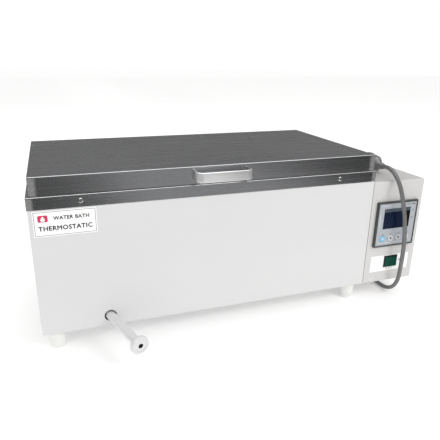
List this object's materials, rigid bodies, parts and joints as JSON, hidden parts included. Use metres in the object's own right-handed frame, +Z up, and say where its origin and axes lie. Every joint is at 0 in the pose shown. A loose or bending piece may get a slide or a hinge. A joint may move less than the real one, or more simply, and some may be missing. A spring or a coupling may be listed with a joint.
{
  "type": "water bath",
  "caption": "Thermostatic water bath: stainless tank with hinged lid in a white cabinet on feet, end control box with round-key controller and rocker, front drain cock, mains lead",
  "frame": {"origin": "on the floor under the middle of the object's box, mains lead, coil, plug and gland left out", "axes": "+X towards the control box, -Y towards the front with the lid handle and drain, +Z up"},
  "size_m": [0.755, 0.5583, 0.309],
  "materials": {
    "tank_steel": "satin",
    "lid_steel": "fine brushed",
    "shelf_steel": "satin",
    "handle_steel": "polished edges",
    "hinge_steel": "satin",
    "probe_steel": "smooth",
    "screw_steel": "bright",
    "nut_brass": "turned",
    "pin_brass": "bright",
    "element_sheath": "dull",
    "mineral_wool": "fibrous",
    "white_plastic": "semi gloss",
    "foot_plastic": "satin",
    "seal_rubber": "matt",
    "seal_silicone": "matt",
    "cabinet_paint": "powder coat",
    "box_paint": "powder coat",
    "frame_plastic": "satin",
    "face_foil": "printed foil",
    "black_plastic": "satin",
    "window_glass": "clear",
    "lcd": "gloss",
    "board": "solder mask",
    "label_plate": "smooth",
    "rocker_green": "gloss",
    "sink_aluminium": "anodised",
    "relay_plastic": "satin",
    "cord_jacket": "satin",
    "tie_plastic": "satin",
    "plug_plastic": "satin",
    "key_blue": "semi gloss",
    "key_silver": "semi gloss"
  },
  "bodies": {
    "body": {"inner_tank": "tank_steel", "rim_screws": "screw_steel", "tank_insulation": "mineral_wool", "heating_element": "element_sheath", "heater_nuts": "nut_brass", "heater_terminals": "screw_steel", "temperature_probe": "probe_steel", "probe_gland": "nut_brass", "drain_outlet": "tank_steel", "drain_union_nut": "nut_brass", "drain_elbow": "white_plastic", "base_pan": "cabinet_paint", "front_panel": "cabinet_paint", "rear_panel": "cabinet_paint", "left_side_panel": "cabinet_paint", "right_side_panel": "cabinet_paint", "foot_bolts": "screw_steel", "body_hinge_leaves": "hinge_steel", "hinge_pins": "screw_steel", "control_box_shell": "box_paint", "control_box_rear_cover": "box_paint", "control_box_screws": "screw_steel", "controller_frame": "frame_plastic", "controller_face": "face_foil", "controller_housing": "black_plastic", "controller_clamps": "black_plastic", "display_window": "window_glass", "display_module": "lcd", "circuit_board": "board", "switch_plate": "label_plate", "switch_housing": "black_plastic", "name_plate": "label_plate", "relay_heat_sink": "sink_aluminium", "solid_state_relay": "relay_plastic", "terminal_block": "black_plastic", "cord_gland": "black_plastic", "mains_cord": "cord_jacket", "cord_coil": "cord_jacket", "cord_tie": "tie_plastic", "plug_body": "plug_plastic", "plug_pins": "pin_brass", "foot_front_left": "foot_plastic", "foot_rear_left": "foot_plastic", "foot_front_right": "foot_plastic", "foot_rear_right": "foot_plastic"},
    "lid": {"lid_shell": "lid_steel", "lid_liner": "tank_steel", "lid_insulation": "mineral_wool", "lid_gasket": "seal_silicone", "lid_handle": "handle_steel", "handle_screws": "screw_steel", "lid_hinge_leaves": "hinge_steel"},
    "shelf": {"perforated_shelf": "shelf_steel"},
    "drain_washer": {"drain_seal": "seal_rubber"},
    "drain_tap": {"drain_stem": "white_plastic"},
    "set_key": {"key_set": "key_blue"},
    "shift_key": {"key_shift": "key_silver"},
    "down_key": {"key_down": "key_silver"},
    "up_key": {"key_up": "key_silver"},
    "rocker": {"switch_rocker": "rocker_green"}
  },
  "joints": [
    {"name": "lid_hinge", "type": "hinge", "parent": "body", "child": "lid", "pos_m": [-0.06, 0.21471, 0.27825], "axis": [-1, 0, 0], "range_deg": [0, 95]},
    {"name": "shelf_lift", "type": "slide", "parent": "body", "child": "shelf", "axis": [0, 0, 1], "range_m": [0, 0.12]},
    {"name": "drain_turn", "type": "hinge", "parent": "drain_washer", "child": "drain_tap", "pos_m": [-0.2616, -0.11489, 0.0534], "axis": [0.3218, -0.9453, -0.0541], "range_deg": [0, 360]},
    {"name": "drain_travel", "type": "slide", "parent": "body", "child": "drain_washer", "axis": [0.3218, -0.9453, -0.0541], "range_m": [0, 0.003]},
    {"name": "rocker_tilt", "type": "hinge", "parent": "body", "child": "rocker", "pos_m": [0.3188, -0.11569, 0.0795], "axis": [0, 0, 1], "range_deg": [0, 18]},
    {"name": "set_key_press", "type": "slide", "parent": "body", "child": "set_key", "axis": [0, 1, 0], "range_m": [0, 0.0008], "stiffness_N_per_m": 400},
    {"name": "shift_key_press", "type": "slide", "parent": "body", "child": "shift_key", "axis": [0, 1, 0], "range_m": [0, 0.0008], "stiffness_N_per_m": 400},
    {"name": "down_key_press", "type": "slide", "parent": "body", "child": "down_key", "axis": [0, 1, 0], "range_m": [0, 0.0008], "stiffness_N_per_m": 400},
    {"name": "up_key_press", "type": "slide", "parent": "body", "child": "up_key", "axis": [0, 1, 0], "range_m": [0, 0.0008], "stiffness_N_per_m": 400}
  ],
  "couplings": [
    {"joint": "drain_turn", "follows": "drain_travel", "rad_per_m": 2094.4}
  ]
}
